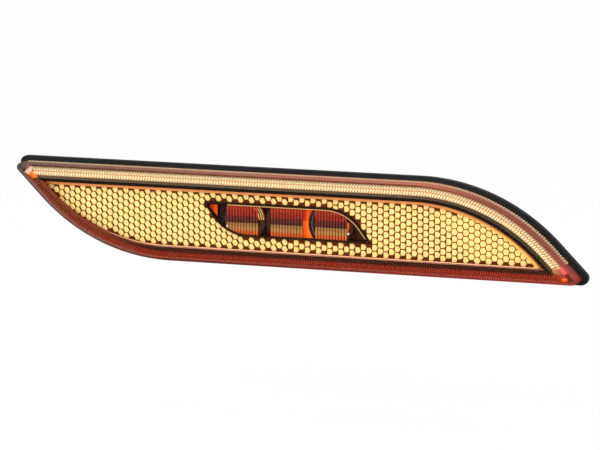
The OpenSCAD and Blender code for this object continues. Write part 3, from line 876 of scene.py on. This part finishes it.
def sheet_with_hole(name, outer, hole, z, tone):
    """A flat sheet between two outlines."""
    mesh = bpy.data.meshes.new(name)
    bm = bmesh.new()
    layer = bm.faces.layers.float_color.new("tone")
    for outline in (outer, hole):
        verts = [bm.verts.new(at(x, y, z)) for x, y in outline]
        for a, b in zip(verts, verts[1:] + verts[:1]):
            bm.edges.new((a, b))
    bmesh.ops.remove_doubles(bm, verts=bm.verts, dist=SLIVER)
    bmesh.ops.triangle_fill(bm, use_beauty=True, edges=bm.edges[:], normal=Vector((0, -1, 0)))
    for face in bm.faces:
        face[layer] = tone + (1.0,)
        if face.normal.y > 0:
            face.normal_flip()
    bm.to_mesh(mesh)
    bm.free()
    mesh.materials.append(finish("toned satin"))
    return placed(name, mesh)


def inside(point, outline, margin):
    """Whether a point lies within a convex anticlockwise outline by a margin."""
    x, y = point
    for (x0, y0), (x1, y1) in zip(outline, outline[1:] + outline[:1]):
        length = math.hypot(x1 - x0, y1 - y0)
        if length > SLIVER and ((x1 - x0) * (y - y0) - (y1 - y0) * (x - x0)) / length < margin:
            return False
    return True


def clip(points, normal, distance):
    """The part of a convex polygon with normal . p <= distance."""
    out = []
    for i, p in enumerate(points):
        q = points[(i + 1) % len(points)]
        dp = p[0] * normal[0] + p[1] * normal[1] - distance
        dq = q[0] * normal[0] + q[1] * normal[1] - distance
        if dp <= 0:
            out.append(p)
        if dp * dq < 0:
            k = dp / (dp - dq)
            out.append((p[0] + (q[0] - p[0]) * k, p[1] + (q[1] - p[1]) * k))
    return out


def pin_pattern(name, pitch, margins, tones, bright, cut_left):
    """One lit reflector pin. margins and tones go round its six sides from the upper right one, and the
    tones paint the shade on each side.

    The seventh tone is for the side that cut_left makes."""
    s = pitch / math.sqrt(3)
    corners = [math.radians(60 * k) for k in range(6)]
    outer = [(s * math.cos(a), s * math.sin(a)) for a in corners]
    face = outer
    for k in range(6):
        a = math.radians(30 + 60 * k)
        face = clip(face, (math.cos(a), math.sin(a)), pitch / 2 - margins[k])
    if cut_left:
        face = clip(face, (-1, 0), s - cut_left)
    piece = Moulding()
    cx, cy = (sum(axis) / len(face) for axis in zip(*face))
    for p, q in zip(face, face[1:] + face[:1]):
        piece.face([(cx, cy, PIN_DOME), (*p, 0), (*q, 0)], bright)
        mid = math.degrees(math.atan2((p[1] + q[1]) / 2, (p[0] + q[0]) / 2)) % 360
        tone = tones[6] if cut_left and abs(mid - 180) < 12 else tones[int(mid // 60)]
        a, b = outer_at(outer, p), outer_at(outer, q)
        low = [(*a, -PIN_DROP), (*b, -PIN_DROP)] if a != b else [(*a, -PIN_DROP)]
        piece.face([(*p, 0), *low, (*q, 0)], tone)
    return piece.make(name, finish("pins"), smooth=None)


def outer_at(outer, p):
    """The corner of the cell that a corner of its lit face belongs to."""
    return min(outer, key=lambda q: (q[0] - p[0]) ** 2 + (q[1] - p[1]) ** 2)


def make_reflector():
    """The field of six-sided pins: three zones with painted shadow on different sides of their grooves."""
    s, t = shape(), tint()
    field = field_outline(OPENING[0] + 1.33, OPENING[1] + 0.88)
    gap = window_outline(-0.12)
    pitch = s.pin_pitch
    bright, thin, dark, red = linear(t.pin), linear(t.pin_groove_shade), linear(t.pin_groove_shadow), linear((176, 84, 32))
    cells = {"left": [], "right": [], "end": []}
    step = pitch * math.sqrt(3) / 2
    count = int(s.cover_length / 2 / step) + 2
    rows = int(s.cover_height / 2 / pitch) + 2
    x_first, y_first = -54.84, -0.52  # a pin in the lamp's left half; columns to its left are below 0
    for i in range(25 - count, 2 * count):
        for j in range(-2 * rows - count, 2 * rows + count):
            x, y = x_first + i * step, y_first - (0.5 * i + j) * pitch
            # How far inside the field a pin's middle lies; the right end takes some from outside it
            margin = -1.3 if x > 66 and y > -9.5 else 0.05 if x < -62 and y < 7 else 0.35
            if not inside((x, y), field, margin) or inside((x, y), gap, -0.1):
                continue
            zone = "left" if x < -2.1 else "right" if x < 60 - 0.9 * y else "end"
            cells[zone].append((x, y, s.pin_level, 0.0))
    # The side tones are painted shade: a deep shadow, thin grooves and reddish sides, set on different
    # sides in each zone.
    zones = {  # margins and tones of the six sides, tone of the cut, and how far the left corner is cut
        "left": ((0.34, 0.17, 0.17, 0.34, 0.17, 0.17), (dark, thin, thin, dark, thin, thin, thin), 0.0),
        "right": ((0.17, 0.22, 0.17, 0.17, 0.24, 0.17), (thin, red, thin, thin, red, thin, dark), 0.7),
        "end": ((0.15, 0.2, 0.18, 0.24, 0.2, 0.15), (thin, thin, thin, red, red, thin, dark), 0.42),
    }
    for zone, (margins, tones, cut_left) in zones.items():
        pattern = pin_pattern("pin_" + zone, pitch, margins, tones, bright, cut_left)
        pins = repeat("reflector_pins_" + zone, pattern, cells[zone], finish("pins"), smooth=False)
        trim(pins, keep=field, hole=gap)
        settle(pins, "amber_reflector", *(["reflex_reflector"] if zone == "left" else []))


def arc_band(piece, centre, radii, angles, z, tone, foot=None):
    """A flat curved band, with a wall down both its sides where a foot is given."""
    a, b = (arc(centre, radius, *angles, ARC_STEPS) for radius in radii)
    piece.wall(level(b, z), level(a, z), tone, closed=False)
    if foot is not None:
        piece.wall(level(a, z), level(a, foot), tone, closed=False)
        piece.wall(level(b, foot), level(b, z), tone, closed=False)


def make_window():
    """The window: its frame, the three cups and the fluted lens in each."""
    make_frame()
    make_cups()
    make_lenses()


def make_frame():
    """The window's dark frame, with a painted highlight along the upper and right part of its lip."""
    frame_tone, lip_highlight = linear((42, 24, 14)), linear((226, 178, 112))
    foot, front = 5.2, shape().plate_front - 1.5
    piece = Moulding()
    rows = [
        level(window_outline(0), foot),
        level(window_outline(0), front - 0.2),
        level(window_outline(0.12), front),
        level(window_outline(0.5), front),
        level(window_outline(0.62), front - 0.15),
        level(window_outline(0.62), foot),
    ]
    loft(piece, rows, [frame_tone] * 5)
    settle(piece.make("window_ring", finish("toned satin")), "dark_bezel", "window_frame")
    lip = Moulding()
    edges = []
    for inset in (0.72, 1.0):
        upper = window_outline(inset)
        upper = upper[5:len(upper) // 2]
        upper.append((-25.0, upper[-1][1]))
        edges.append((level(upper, front - 1.4), level(upper, front - 0.4)))
    (low_a, high_a), (low_b, high_b) = edges
    # Painted highlight: the bright lip runs only along the upper edge and the right end.
    for a, b in ((low_a, high_a), (high_a, high_b), (high_b, low_b)):
        lip.wall(a, b, lip_highlight, closed=False)
    settle(lip.make("window_lip", finish("toned gloss")), "dark_bezel")


def make_cups():
    """The floor and the curved walls of the three cups, as far as they show past the lenses."""
    s = shape()
    back = Moulding()
    floor_z, wall_z = 6.2, 8.2
    inner = window_outline(0.7)
    back.face(level(inner, floor_z), linear((74, 34, 22)))
    back.wall(level(inner, wall_z), level(inner, floor_z), linear((58, 28, 18)))
    settle(back.make("cup_floor", finish("toned satin")), "brown_plastic", "cup_block")
    cups = Moulding()
    left, middle, right = ((s.window_x + i * s.lamp_pitch, s.window_y) for i in (-1, 0, 1))
    # Painted light and shade in the cups: the dark arcs paint shade on the walls, and the bright orange
    # faces and pale arcs paint light where the walls catch it.
    blue_black, deep, orange = linear((26, 20, 22)), linear((62, 34, 24)), linear((236, 84, 16))
    z = 8.9
    arc_band(cups, left, (7.3, 9.3), (118, 235), z, blue_black, floor_z)
    arc_band(cups, left, (6.5, 7.2), (120, 240), z - 0.2, linear((84, 56, 44)), floor_z)
    arc_band(cups, left, (6.6, 8.6), (-62, 30), z - 0.3, deep, floor_z)
    for r in (6.5, 7.35, 8.15):
        arc_band(cups, left, (r - 0.16, r + 0.12), (2, 52), z + 0.1, linear((224, 178, 104)))
        arc_band(cups, left, (r + 0.12, r + 0.6), (2, 52), z - 0.1, linear((96, 56, 28)))
    arc_band(cups, middle, (6.5, 8.4), (128, 232), z - 0.3, deep, floor_z)
    squares = (
        (3.9, 5.4, -6.2, 0.4, orange), (5.4, 8.6, -6.2, 0.4, linear((252, 112, 26))),
        (3.9, 5.4, 0.4, 5.6, linear((190, 48, 18))), (5.4, 8.6, 0.4, 5.6, orange),
    )
    for x0, x1, y0, y1, tone in squares:
        cups.face(level(((x0, y0), (x1, y0), (x1, y1), (x0, y1)), z - 0.5), tone)
    arc_band(cups, right, (6.8, 8.9), (122, 238), z, linear((36, 26, 26)), floor_z)
    arc_band(cups, right, (7.5, 7.7), (122, 238), z + 0.1, linear((110, 92, 88)))
    arc_band(cups, right, (5.9, 6.7), (-62, 10), z - 0.1, linear((214, 96, 30)), floor_z)
    arc_band(cups, right, (6.9, 8.2), (-60, 60), z - 0.4, deep, floor_z)
    top, low = s.window_y + 5.0, s.window_y + 4.2
    for x0, x1, tone in ((-32.6, -30.9, (190, 50, 18)), (-30.9, -29.4, (224, 84, 22))):
        y0, y1 = (low - (x + 32.6) * 1.1 for x in (x0, x1))
        cups.face(level(((x0, y0), (x1, y1), (x1, top), (x0, top)), z - 0.4), linear(tone))
    walls = cups.make("cup_walls", finish("toned satin"))
    trim(walls, keep=window_outline(0.62))
    settle(walls, "brown_plastic")
    glints = Moulding()
    for x, y in ((-25.4, -3.1), (21.8, -3.4)):
        corners = ((x, y - 0.5), (x + 0.5, y - 0.1), (x + 0.3, y + 0.5), (x - 0.3, y + 0.2))
        glints.face(level(corners, 9.4), linear((250, 214, 190)))
    settle(glints.make("cup_glints", finish("toned gloss")), "clear_optic")


def make_lenses():
    """The fluted lens in front of each lamp."""
    s = shape()
    pitch, flutes, z = 1.14, 11, 8.9
    for i, place in ((-1, "left"), (0, "middle"), (1, "right")):
        cx = s.window_x + i * s.lamp_pitch - 0.25
        spots = [(cx + (k - flutes // 2) * pitch, s.window_y, z, 0.0) for k in range(flutes)]
        lens = repeat(place + "_lens", flute_pattern("flute", pitch), spots, finish("toned gloss"))
        trim(lens, keep=window_outline(0.66))
        settle(lens, "clear_optic", place + "_optic")


FLUTE_BANDS = (
    (5.8, (178, 48, 18)), (3.4, (158, 36, 18)), (1.3, (104, 28, 18)), (-0.2, (78, 30, 20)),
    (-1.2, (166, 114, 56)), (-2.6, (188, 130, 66)), (-4.0, (218, 92, 28)), (-5.9, (226, 96, 28)),
)


def flute_pattern(name, pitch):
    """One upright flute, toned in bands from top to bottom."""
    piece = Moulding()
    half = pitch / 2
    # Painted light and shade: each face's brightness darkens the flute towards its edges and lights its
    # crest.
    profile = (  # place across the flute, height and brightness
        (-half, 0.0, 0.2), (-half * 0.55, 0.26, 0.62), (-0.1, 0.42, 1.0), (half * 0.5, 0.3, 0.7),
        (half, 0.0, 0.0),
    )
    for (y1, tone), (y0, _) in zip(FLUTE_BANDS, FLUTE_BANDS[1:]):
        for (x0, z0, k), (x1, z1, _) in zip(profile, profile[1:]):
            corners = [(x0, y0, z0), (x1, y0, z1), (x1, y1, z1), (x0, y1, z0)]
            piece.face(corners, scaled(linear(tone), k))
    return piece.make(name, finish("toned gloss"), smooth=None)


TIP_FACETS = (
    # Depth, colour and corners on the lamp, from the upper left tip to the lower right one; the colours
    # paint the light and shade seen on each facet
    (11.6, (88, 92, 84), (
        (-108.4, 15.9), (-107.0, 17.0), (-104.9, 16.8), (-105.7, 14.4), (-106.9, 13.9), (-108.2, 15.2),
    )),
    (11.5, (176, 112, 116), ((-107.0, 17.0), (-104.9, 16.8), (-102.2, 16.5), (-102.2, 17.0))),
    (11.4, (160, 100, 104), ((-104.9, 16.8), (-102.4, 16.4), (-104.4, 15.0), (-105.7, 14.4))),
    (10.8, (255, 216, 184), (
        (-106.0, 13.2), (-105.4, 14.3), (-103.7, 15.5), (-102.4, 15.6), (-103.0, 14.0), (-104.5, 12.3),
    )),
    (10.85, (236, 130, 50), (
        (-104.5, 12.3), (-103.0, 14.0), (-102.0, 12.6), (-100.4, 11.6), (-102.6, 10.9),
    )),
    (10.6, (150, 62, 36), (
        (-107.0, 14.0), (-106.0, 13.2), (-104.5, 12.3), (-102.6, 10.9), (-104.4, 11.0),
    )),
    (11.9, (236, 96, 96), ((101.9, -11.2), (104.2, -9.2), (106.4, -11.6), (104.1, -13.4))),
    (11.8, (196, 58, 54), ((104.2, -9.2), (107.6, -13.0), (106.6, -14.2), (106.4, -11.6))),
    (11.85, (110, 32, 28), ((104.1, -13.4), (106.4, -11.6), (106.6, -14.2), (105.8, -14.0))),
    (11.6, (84, 32, 30), ((105.8, -14.0), (108.4, -14.1), (108.4, -16.3), (105.2, -16.5))),
    (10.6, (176, 104, 66), ((96.6, -12.6), (101.9, -11.6), (104.1, -13.4), (99.4, -13.6))),
    (10.65, (170, 50, 26), (
        (101.0, -13.6), (104.1, -13.4), (105.8, -14.0), (105.2, -16.5), (101.0, -16.4),
    )),
    (10.9, (255, 112, 20), (
        (102.6, -15.4), (103.6, -16.1), (105.0, -15.8), (105.3, -15.1), (104.2, -14.6), (103.0, -14.8),
    )),
)


def make_tray_and_tips():
    """The brown tray under the guides, and the facets at both tips, whose colours paint the light they
    bend.
    """
    piece = Moulding()
    brown, lit = linear((110, 44, 32)), linear((186, 116, 90))

    def liner(a, b, *_):
        return lit if b[0] < a[0] else brown

    outer, inner, base, top = cover_outline(1.5), cover_outline(7.8, 5.9), 7.05, 7.95
    rows = [level(outer, base), level(outer, top), level(inner, top), level(inner, base)]
    loft(piece, rows + rows[:1], [liner] * 4)
    settle(piece.make("tray", finish("toned gloss")), "brown_plastic", "guide_tray")
    tips = Moulding()
    for z, colour, corners in TIP_FACETS:
        tone, foot = linear(colour), z - 2.6
        cx, cy = (sum(axis) / len(corners) for axis in zip(*corners))
        turned = sum(a[0] * b[1] - b[0] * a[1] for a, b in zip(corners, corners[1:] + corners[:1])) > 0
        ring = corners if turned else corners[::-1]
        for a, b in zip(ring, ring[1:] + ring[:1]):
            tips.face([(*a, z), (*b, z), (cx, cy, z + 0.25)], tone)
            # Painted shade: each facet's walls are its tone at 0.7.
            tips.face([(*a, foot), (*b, foot), (*b, z), (*a, z)], scaled(tone, 0.7))
    facets = tips.make("tip_facets", finish("toned gloss"), smooth=None)
    trim(facets, keep=cover_outline(0.3))
    settle(facets, "clear_guide")


def make_gasket():
    """The foam gasket with soft edges."""
    s = shape()
    piece = Moulding()
    out, width, h = -(s.foot - 0.1), 3.2, s.gasket
    edge = ((0.35, 0), (0.1, 0.12), (0, 0.35), (0, h - 0.35), (0.1, h - 0.12), (0.35, h - 0.02))
    rows = [level(cover_outline(out + inset), z) for inset, z in edge]
    rows += [level(cover_outline(out + width - inset), z) for inset, z in reversed(edge)]
    rows.append(rows[0])
    loft(piece, rows, [linear((30, 30, 32))] * (len(rows) - 1))
    settle(piece.make("foam_gasket", finish("foam")), "foam_rubber", "body_gasket")


def make_studs():
    """Two mounting studs with a rolled thread."""
    pitch, radius, depth, sides = 0.8, 2.5, 0.42, 24
    start, end = -15.8, -0.4
    total = int((end - start) / (pitch / 4)) + 1
    collar = ((radius, end), (3.35, end), (3.4, end + 0.1), (3.4, 4.0), (4.4, 4.0), (4.4, 5.6))
    steel = linear((186, 189, 192))

    def ring(x, z, radii):
        turns = [2 * math.pi * i / sides for i in range(sides)]
        return [(x + r * math.cos(a), r * math.sin(a), z) for r, a in zip(radii, turns)]

    def thread(z):
        """The radii round the thread at a depth, with a plain tip and a run-out at both ends."""
        if z <= start + 0.4:
            return [radius - 0.55] * sides
        fade = min((z - start) / 0.8 + 0.4, 1) * min((end - z) / 0.6, 1)
        phases = [(z / pitch - i / sides) % 1.0 for i in range(sides)]
        return [radius - depth * (1 - abs(2 * phase - 1)) * fade for phase in phases]

    for name, x in (("left", -62.0), ("right", 62.0)):
        piece = Moulding()
        depths = [start + (end - start) * k / total for k in range(total + 1)]
        rows = [ring(x, z, thread(z)) for z in depths]
        rows += [ring(x, z, [r] * sides) for r, z in collar]
        loft(piece, rows, [steel] * (len(rows) - 1))
        piece.face(rows[0][::-1], steel)
        piece.face(rows[-1], steel)
        stud = piece.make(name + "_threaded_stud", finish("zinc"), smooth=math.radians(50))
        settle(stud, "zinc_steel", name + "_stud")


def dress_solids():
    """Gives the CAD solids that keep their own shape a finish."""
    dress(["housing"], "black moulding")
    dress(["circuit_board"], "solder mask")
    dress(["driver_chip", "resistors", "input_diode"], "chip")
    dress(["capacitors"], "ceramic")
    dress(["board_screws"], "zinc")
    dress(["terminal_pins"], "tin")
    dress(["vent_membrane"], "film")
    dress(["left_led", "middle_led", "right_led", "upper_guide_led", "lower_guide_led"], "emitter")


def look_along(obj, place, direction):
    """Puts a camera or a lamp at a place and turns it to a direction."""
    obj.location = place
    obj.rotation_mode = "QUATERNION"
    obj.rotation_quaternion = direction.to_track_quat("-Z", "Y")


def seen_white(node, link, lit, mix, amount=1.0):
    """Shows some white to the camera and in reflections, and leaves the light as it is."""
    path, white = node("ShaderNodeLightPath"), node("ShaderNodeEmission")
    glossy, either, part = maths(node, "MAXIMUM"), maths(node, "MAXIMUM"), maths(node, "MULTIPLY", amount)
    wire(
        link,
        (path, "Is Camera Ray", glossy, 0), (path, "Is Glossy Ray", glossy, 1),
        (glossy, 0, either, 0), (path, "Is Transmission Ray", either, 1), (either, 0, part, 0),
        (part, 0, mix, "Fac"), (lit, 0, mix, 1), (white, 0, mix, 2),
    )


def make_floor():
    """A pale floor that takes soft shadows and is clear from below."""
    material, node, link = new_material("pale_floor")
    out, mix = node("ShaderNodeOutputMaterial"), node("ShaderNodeMixShader")
    body = node("ShaderNodeBsdfDiffuse")
    body.inputs["Color"].default_value = (0.8, 0.8, 0.8, 1)
    seen_white(node, link, body, mix, amount=0.95)
    side, below = node("ShaderNodeNewGeometry"), node("ShaderNodeBsdfTransparent")
    open_side = node("ShaderNodeMixShader")
    wire(
        link,
        (side, "Backfacing", open_side, "Fac"), (mix, 0, open_side, 1), (below, 0, open_side, 2),
        (open_side, 0, out, "Surface"),
    )
    mesh = bpy.data.meshes.new("floor")
    drop, size = -0.075, 6.0
    corners = [(-size, -size, drop), (size, -size, drop), (size, size, drop), (-size, size, drop)]
    mesh.from_pydata(corners, [], [(0, 1, 2, 3)])
    mesh.materials.append(material)
    placed("floor", mesh)


def make_world():
    """Plain white surroundings."""
    world = bpy.data.worlds.new("studio")
    world.use_nodes = True
    tree = world.node_tree
    sky, mix = tree.nodes["Background"], tree.nodes.new("ShaderNodeMixShader")
    sky.inputs["Color"].default_value = (1, 1, 1, 1)
    sky.inputs["Strength"].default_value = 0.72
    seen_white(tree.nodes.new, tree.links.new, sky, mix)
    wire(tree.links.new, (mix, 0, tree.nodes["World Output"], "Surface"))
    bpy.context.scene.world = world


STUDIO_LAMPS = (  # name, place and width in metres, power in watts
    ("key_light", (-0.5, -1.0, 0.9), 0.9, 10.0),
    ("fill_light", (0.9, -1.0, 0.3), 0.9, 5.5),
    ("top_light", (0.1, -0.1, 1.2), 0.7, 4.5),
)


def make_stage():
    """Camera, pale floor, white surroundings and plain soft lamps."""
    scene = bpy.context.scene
    azimuth, elevation, distance = math.radians(18.946), math.radians(9.883), 1246.3 * MM
    aim = Vector((3.08, -9.0, -1.19)) * MM
    along_floor, up = math.cos(elevation), math.sin(elevation)
    back = Vector((math.sin(azimuth) * along_floor, -math.cos(azimuth) * along_floor, up))
    camera = placed("camera", bpy.data.cameras.new("camera"))
    camera.data.sensor_width, camera.data.lens = 36, 203.45
    camera.data.clip_start, camera.data.clip_end = 0.05, 20
    look_along(camera, aim + back * distance, -back)
    scene.camera = camera
    make_floor()
    make_world()
    for name, place, width, power in STUDIO_LAMPS:
        lamp = bpy.data.lights.new(name, "AREA")
        lamp.shape, lamp.size, lamp.energy = "SQUARE", width, power
        look_along(placed(name, lamp), place, -Vector(place))
    scene.view_settings.view_transform = "Standard"


# Operators and panel


class LAMP_OT_solids(bpy.types.Operator):
    """Gives the CAD solids that keep their own shape a finish"""

    bl_idname = "lamp.solids"
    bl_label = "Finish the solids"
    bl_options = {"REGISTER", "UNDO"}

    def execute(self, context):
        dress_solids()
        return {"FINISHED"}


class LAMP_OT_gasket(bpy.types.Operator):
    """Makes the foam gasket"""

    bl_idname = "lamp.gasket"
    bl_label = "Gasket"
    bl_options = {"REGISTER", "UNDO"}

    def execute(self, context):
        make_gasket()
        return {"FINISHED"}


class LAMP_OT_studs(bpy.types.Operator):
    """Makes the two threaded mounting studs"""

    bl_idname = "lamp.studs"
    bl_label = "Studs"
    bl_options = {"REGISTER", "UNDO"}

    def execute(self, context):
        make_studs()
        return {"FINISHED"}


class LAMP_OT_tray(bpy.types.Operator):
    """Makes the tray under the guides and the facets at both tips"""

    bl_idname = "lamp.tray"
    bl_label = "Tray and tips"
    bl_options = {"REGISTER", "UNDO"}

    def execute(self, context):
        make_tray_and_tips()
        return {"FINISHED"}


class LAMP_OT_guides(bpy.types.Operator):
    """Makes both ribbed light guides and the ribbed rims"""

    bl_idname = "lamp.guides"
    bl_label = "Light guides"
    bl_options = {"REGISTER", "UNDO"}

    def execute(self, context):
        make_guides()
        return {"FINISHED"}


class LAMP_OT_bezel(bpy.types.Operator):
    """Makes the dark bezel and the plain border of the reflector"""

    bl_idname = "lamp.bezel"
    bl_label = "Bezel"
    bl_options = {"REGISTER", "UNDO"}

    def execute(self, context):
        make_bezel()
        return {"FINISHED"}


class LAMP_OT_reflector(bpy.types.Operator):
    """Makes the field of reflector pins"""

    bl_idname = "lamp.reflector"
    bl_label = "Reflector"
    bl_options = {"REGISTER", "UNDO"}

    def execute(self, context):
        make_reflector()
        return {"FINISHED"}


class LAMP_OT_window(bpy.types.Operator):
    """Makes the frame of the window, its cups and its fluted lenses"""

    bl_idname = "lamp.window"
    bl_label = "Window"
    bl_options = {"REGISTER", "UNDO"}

    def execute(self, context):
        make_window()
        return {"FINISHED"}


class LAMP_OT_cover(bpy.types.Operator):
    """Makes the clear cover"""

    bl_idname = "lamp.cover"
    bl_label = "Cover"
    bl_options = {"REGISTER", "UNDO"}

    def execute(self, context):
        make_cover()
        return {"FINISHED"}


class LAMP_OT_stage(bpy.types.Operator):
    """Makes the camera, the floor, the surroundings and the lamps"""

    bl_idname = "lamp.stage"
    bl_label = "Stage"
    bl_options = {"REGISTER", "UNDO"}

    def execute(self, context):
        make_stage()
        return {"FINISHED"}


OPERATORS = [
    LAMP_OT_solids, LAMP_OT_gasket, LAMP_OT_studs, LAMP_OT_tray, LAMP_OT_guides, LAMP_OT_bezel,
    LAMP_OT_reflector, LAMP_OT_window, LAMP_OT_cover, LAMP_OT_stage,
]


class LAMP_PT_panel(bpy.types.Panel):
    """Lists the lamp's sizes, colours and pieces."""

    bl_label = "Side marker lamp"
    bl_idname = "LAMP_PT_panel"
    bl_space_type = "VIEW_3D"
    bl_region_type = "UI"
    bl_category = "Lamp"

    def draw(self, context):
        layout = self.layout
        for group in (context.scene.lamp_shape, context.scene.lamp_tints):
            box = layout.box()
            for name in group.__annotations__:
                box.prop(group, name)
        for kind in OPERATORS:
            layout.operator(kind.bl_idname)


CLASSES = [LampShape, LampTints, *OPERATORS, LAMP_PT_panel]


def register():
    for kind in CLASSES:
        bpy.utils.register_class(kind)
    bpy.types.Scene.lamp_shape = bpy.props.PointerProperty(type=LampShape)
    bpy.types.Scene.lamp_tints = bpy.props.PointerProperty(type=LampTints)


def unregister():
    del bpy.types.Scene.lamp_tints
    del bpy.types.Scene.lamp_shape
    for kind in reversed(CLASSES):
        bpy.utils.unregister_class(kind)


def main():
    register()
    for kind in OPERATORS:
        group, name = kind.bl_idname.split(".")
        getattr(getattr(bpy.ops, group), name)()


if __name__ == "__main__":
    main()
